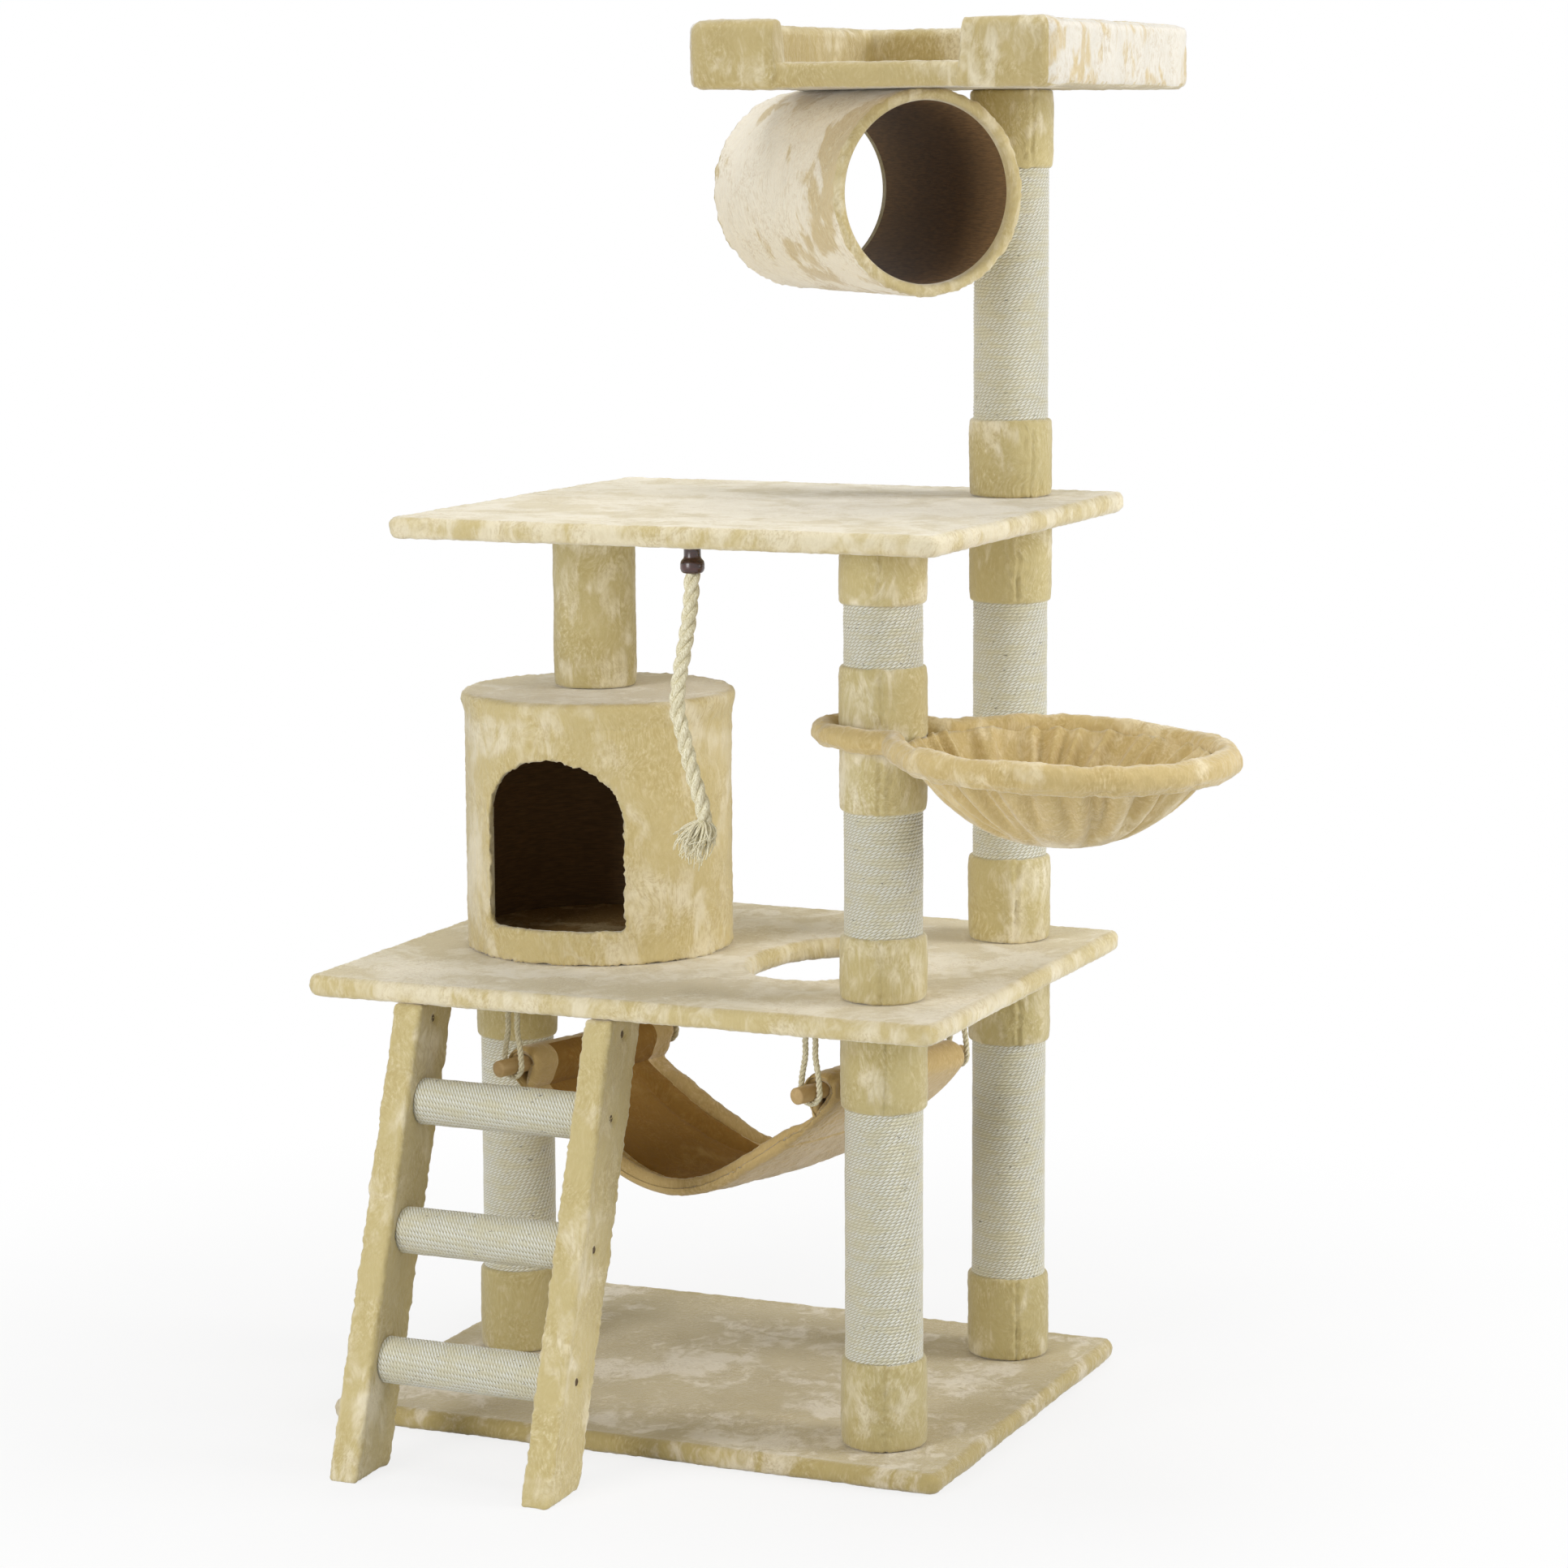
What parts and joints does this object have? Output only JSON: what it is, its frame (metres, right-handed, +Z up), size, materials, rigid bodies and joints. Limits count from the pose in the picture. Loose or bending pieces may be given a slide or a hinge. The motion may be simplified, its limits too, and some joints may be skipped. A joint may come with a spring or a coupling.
{
  "type": "cat tree",
  "caption": "Floor-standing cat tree: plush shelves on sisal posts with a round condo, tunnel, raised tray, wire-hoop basket, hammock, ladder and rope toy.",
  "frame": {"origin": "centre of the base board's underside", "axes": "+Z up along the posts, -Y towards the ladder, +X towards the basket"},
  "size_m": [1.0421, 0.786, 1.574],
  "materials": {
    "plush_board": "particle board wrapped in short cream plush",
    "plush_shell": "card shell wrapped in short cream plush",
    "plush": "short cream plush with brushed nap",
    "sisal": "tight sisal winding",
    "sisal_rung": "wood core wound with sisal",
    "sisal_rope": "laid sisal rope",
    "post_core": "bare cardboard tube",
    "pale_wood": "raw pine dowel",
    "dark_wood": "dark stained and varnished",
    "cotton_rope": "laid cotton rope",
    "steel": "zinc plated"
  },
  "bodies": {
    "tower": {"base_board": "plush_board", "middle_board": "plush_board", "upper_board": "plush_board", "front_lower_core": "post_core", "front_lower_sleeve_bottom": "plush", "front_lower_sisal": "sisal", "front_lower_sleeve_top": "plush", "back_right_lower_core": "post_core", "back_right_lower_sleeve_bottom": "plush", "back_right_lower_sisal": "sisal", "back_right_lower_sleeve_top": "plush", "back_left_lower_core": "post_core", "back_left_lower_sleeve_bottom": "plush", "back_left_lower_sisal": "sisal", "back_left_lower_sleeve_top": "plush", "front_upper_core": "post_core", "front_upper_sleeve_bottom": "plush", "front_upper_sisal_below": "sisal", "front_upper_sleeve_middle": "plush", "front_upper_sisal_above": "sisal", "front_upper_sleeve_top": "plush", "back_right_middle_core": "post_core", "back_right_middle_sleeve_bottom": "plush", "back_right_middle_sisal": "sisal", "back_right_middle_sleeve_top": "plush", "back_right_top_core": "post_core", "back_right_top_sleeve_bottom": "plush", "back_right_top_sisal": "sisal", "back_right_top_sleeve_top": "plush", "condo_post_core": "post_core", "condo_post_sleeve": "plush", "front_base_bolt": "steel", "back_right_base_bolt": "steel", "back_left_base_bolt": "steel", "condo_wall": "plush_shell", "condo_floor": "plush_board", "condo_roof": "plush_board", "condo_roof_bolt": "steel", "perch_tray": "plush_board", "tunnel": "plush_shell", "ladder_left_rail": "plush_board", "ladder_right_rail": "plush_board", "ladder_rung_bottom": "sisal_rung", "ladder_rung_middle": "sisal_rung", "ladder_rung_top": "sisal_rung", "hammock_hook_front_left": "steel", "hammock_hook_back_left": "steel", "hammock_hook_front_right": "steel", "hammock_hook_back_right": "steel", "toy_cap": "dark_wood"},
    "basket": {"basket_frame": "steel", "basket_sling": "plush"},
    "hammock_left_trapeze": {"hammock_dowel_left": "pale_wood", "hammock_loop_front_left": "cotton_rope", "hammock_loop_back_left": "cotton_rope"},
    "hammock_right_trapeze": {"hammock_dowel_right": "pale_wood", "hammock_loop_front_right": "cotton_rope", "hammock_loop_back_right": "cotton_rope"},
    "hammock_sling": {"hammock_cloth": "plush"},
    "toy": {"toy_rope": "sisal_rope"}
  },
  "joints": [
    {"name": "basket_swivel", "type": "hinge", "parent": "tower", "child": "basket", "pos_m": [0.2715, -0.195, 0.815], "axis": [0, 0, 1], "range_deg": [-40, 50]},
    {"name": "hammock_swing", "type": "hinge", "parent": "tower", "child": "hammock_left_trapeze", "pos_m": [-0.185, -0.227, 0.489], "axis": [0.2924, 0.9563, 0], "range_deg": [-8, 20]},
    {"name": "hammock_swing_right", "type": "hinge", "parent": "tower", "child": "hammock_right_trapeze", "pos_m": [0.181, -0.227, 0.489], "axis": [0.2924, 0.9563, 0], "range_deg": [-8, 20]},
    {"name": "hammock_level", "type": "hinge", "parent": "hammock_left_trapeze", "child": "hammock_sling", "pos_m": [-0.185, -0.227, 0.412], "axis": [0.2924, 0.9563, 0], "range_deg": [-20, 8]},
    {"name": "toy_swing", "type": "hinge", "parent": "tower", "child": "toy", "pos_m": [0.085, -0.279, 0.9847], "axis": [0, 1, 0], "range_deg": [-25, 25]}
  ],
  "couplings": [
    {"joint": "hammock_swing_right", "follows": "hammock_swing", "ratio": 1},
    {"joint": "hammock_level", "follows": "hammock_swing", "ratio": -1}
  ]
}
